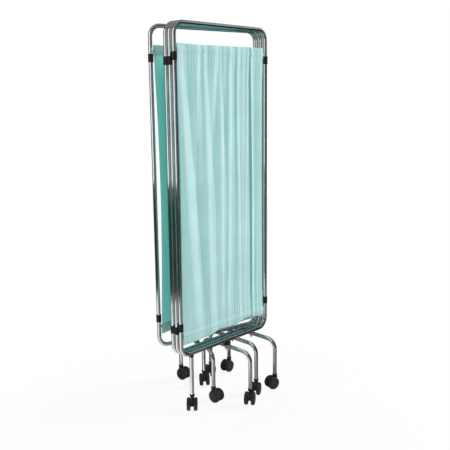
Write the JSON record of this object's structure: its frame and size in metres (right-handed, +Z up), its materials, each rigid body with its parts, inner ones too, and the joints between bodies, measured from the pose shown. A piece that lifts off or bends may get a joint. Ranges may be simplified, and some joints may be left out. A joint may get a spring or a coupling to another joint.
{
  "type": "folding privacy screen",
  "caption": "Folding privacy screen of curtained chrome tube frames joined edge to edge by clips, on arched tube feet with swivelling twin-wheel castors.",
  "frame": {"origin": "centre of the folded screen's footprint, on the floor", "axes": "+Z up, +X along the three parallel panels towards their joined right ends, +Y from the front panel to the opened rear panel"},
  "size_m": [0.6112, 0.5132, 1.74],
  "materials": {
    "chrome_tube": "bright chrome plate",
    "plated_steel": "zinc plate",
    "clip_plastic": "moulded, satin",
    "castor_plastic": "moulded, satin",
    "wheel_plastic": "moulded, satin",
    "curtain_fabric": "woven, matt"
  },
  "bodies": {
    "panel_1": {"frame_1": "chrome_tube", "curtain_1": "curtain_fabric", "upper_rod_1": "plated_steel", "lower_rod_1": "plated_steel", "foot_1": "chrome_tube", "saddle_1": "clip_plastic", "foot_bolt_1": "plated_steel", "edge_leg": "chrome_tube", "edge_leg_ferrule": "clip_plastic", "edge_leg_bolt": "plated_steel", "upper_end_clip_1": "clip_plastic", "lower_end_clip_1": "clip_plastic"},
    "panel_2": {"frame_2": "chrome_tube", "curtain_2": "curtain_fabric", "upper_rod_2": "plated_steel", "lower_rod_2": "plated_steel", "foot_2": "chrome_tube", "saddle_2": "clip_plastic", "foot_bolt_2": "plated_steel", "upper_hinge_clip_1_2": "clip_plastic", "lower_hinge_clip_1_2": "clip_plastic", "upper_hinge_clip_2_3": "clip_plastic", "lower_hinge_clip_2_3": "clip_plastic"},
    "panel_3": {"frame_3": "chrome_tube", "curtain_3": "curtain_fabric", "upper_rod_3": "plated_steel", "lower_rod_3": "plated_steel", "foot_3": "chrome_tube", "saddle_3": "clip_plastic", "foot_bolt_3": "plated_steel", "upper_hinge_clip_3_4": "clip_plastic", "lower_hinge_clip_3_4": "clip_plastic"},
    "panel_4": {"frame_4": "chrome_tube", "curtain_4": "curtain_fabric", "upper_rod_4": "plated_steel", "lower_rod_4": "plated_steel", "foot_4": "chrome_tube", "saddle_4": "clip_plastic", "foot_bolt_4": "plated_steel", "upper_end_clip_4": "clip_plastic", "lower_end_clip_4": "clip_plastic"},
    "castor_rear_1": {"castor_rear_1_body": "castor_plastic"},
    "wheels_rear_1": {"castor_rear_1_wheels": "wheel_plastic"},
    "castor_front_1": {"castor_front_1_body": "castor_plastic"},
    "wheels_front_1": {"castor_front_1_wheels": "wheel_plastic"},
    "castor_edge_1": {"castor_edge_1_body": "castor_plastic"},
    "wheels_edge_1": {"castor_edge_1_wheels": "wheel_plastic"},
    "castor_rear_2": {"castor_rear_2_body": "castor_plastic"},
    "wheels_rear_2": {"castor_rear_2_wheels": "wheel_plastic"},
    "castor_front_2": {"castor_front_2_body": "castor_plastic"},
    "wheels_front_2": {"castor_front_2_wheels": "wheel_plastic"},
    "castor_rear_3": {"castor_rear_3_body": "castor_plastic"},
    "wheels_rear_3": {"castor_rear_3_wheels": "wheel_plastic"},
    "castor_front_3": {"castor_front_3_body": "castor_plastic"},
    "wheels_front_3": {"castor_front_3_wheels": "wheel_plastic"},
    "castor_rear_4": {"castor_rear_4_body": "castor_plastic"},
    "wheels_rear_4": {"castor_rear_4_wheels": "wheel_plastic"},
    "castor_front_4": {"castor_front_4_body": "castor_plastic"},
    "wheels_front_4": {"castor_front_4_wheels": "wheel_plastic"}
  },
  "joints": [
    {"name": "hinge_1_2", "type": "hinge", "parent": "panel_1", "child": "panel_2", "pos_m": [0.2814, -0.05361, 0.985], "axis": [0, 0, -1], "range_deg": [0, 180]},
    {"name": "hinge_2_3", "type": "hinge", "parent": "panel_2", "child": "panel_3", "pos_m": [-0.2936, -0.00161, 0.985], "axis": [0, 0, 1], "range_deg": [0, 180]},
    {"name": "hinge_3_4", "type": "hinge", "parent": "panel_3", "child": "panel_4", "pos_m": [0.29361, 0.02134, 0.985], "axis": [0, 0, -1], "range_deg": [-8, 169.7]},
    {"name": "swivel_rear_1", "type": "hinge", "parent": "panel_1", "child": "castor_rear_1", "pos_m": [-0.00552, 0.10389, 0.073], "axis": [0, 0, 1], "continuous": true},
    {"name": "spin_rear_1", "type": "hinge", "parent": "castor_rear_1", "child": "wheels_rear_1", "pos_m": [-0.01661, 0.0897, 0.03071], "axis": [0.788, -0.6157, 0], "continuous": true},
    {"name": "swivel_front_1", "type": "hinge", "parent": "panel_1", "child": "castor_front_1", "pos_m": [-0.00552, -0.21111, 0.073], "axis": [0, 0, 1], "continuous": true},
    {"name": "spin_front_1", "type": "hinge", "parent": "castor_front_1", "child": "wheels_front_1", "pos_m": [-0.02062, -0.22092, 0.03071], "axis": [0.5446, -0.8387, 0], "continuous": true},
    {"name": "swivel_edge_1", "type": "hinge", "parent": "panel_1", "child": "castor_edge_1", "pos_m": [-0.2336, -0.05361, 0.073], "axis": [0, 0, 1], "continuous": true},
    {"name": "spin_edge_1", "type": "hinge", "parent": "castor_edge_1", "child": "wheels_edge_1", "pos_m": [-0.24655, -0.06612, 0.03071], "axis": [0.6947, -0.7193, 0], "continuous": true},
    {"name": "swivel_rear_2", "type": "hinge", "parent": "panel_2", "child": "castor_rear_2", "pos_m": [0.20435, 0.12989, 0.073], "axis": [0, 0, 1], "continuous": true},
    {"name": "spin_rear_2", "type": "hinge", "parent": "castor_rear_2", "child": "wheels_rear_2", "pos_m": [0.18649, 0.12769, 0.03071], "axis": [0.1219, -0.9925, 0], "continuous": true},
    {"name": "swivel_front_2", "type": "hinge", "parent": "panel_2", "child": "castor_front_2", "pos_m": [0.20435, -0.18511, 0.073], "axis": [0, 0, 1], "continuous": true},
    {"name": "spin_front_2", "type": "hinge", "parent": "castor_front_2", "child": "wheels_front_2", "pos_m": [0.18696, -0.18045, 0.03071], "axis": [-0.2588, -0.9659, 0], "continuous": true},
    {"name": "swivel_rear_3", "type": "hinge", "parent": "panel_3", "child": "castor_rear_3", "pos_m": [0.09453, 0.15589, 0.073], "axis": [0, 0, 1], "continuous": true},
    {"name": "spin_rear_3", "type": "hinge", "parent": "castor_rear_3", "child": "wheels_rear_3", "pos_m": [0.07878, 0.14716, 0.03071], "axis": [0.4848, -0.8746, 0], "continuous": true},
    {"name": "swivel_front_3", "type": "hinge", "parent": "panel_3", "child": "castor_front_3", "pos_m": [0.09453, -0.15911, 0.073], "axis": [0, 0, 1], "continuous": true},
    {"name": "spin_front_3", "type": "hinge", "parent": "castor_front_3", "child": "wheels_front_3", "pos_m": [0.07878, -0.16784, 0.03071], "axis": [0.4848, -0.8746, 0], "continuous": true},
    {"name": "swivel_rear_4", "type": "hinge", "parent": "panel_4", "child": "castor_rear_4", "pos_m": [-0.0364, 0.24124, 0.073], "axis": [0, 0, 1], "continuous": true},
    {"name": "spin_rear_4", "type": "hinge", "parent": "castor_rear_4", "child": "wheels_rear_4", "pos_m": [-0.03483, 0.22331, 0.03071], "axis": [0.9962, 0.0872, 0], "continuous": true},
    {"name": "swivel_front_4", "type": "hinge", "parent": "panel_4", "child": "castor_front_4", "pos_m": [-0.10619, -0.06593, 0.073], "axis": [0, 0, 1], "continuous": true},
    {"name": "spin_front_4", "type": "hinge", "parent": "castor_front_4", "child": "wheels_front_4", "pos_m": [-0.10462, -0.08386, 0.03071], "axis": [0.9962, 0.0872, 0], "continuous": true}
  ]
}
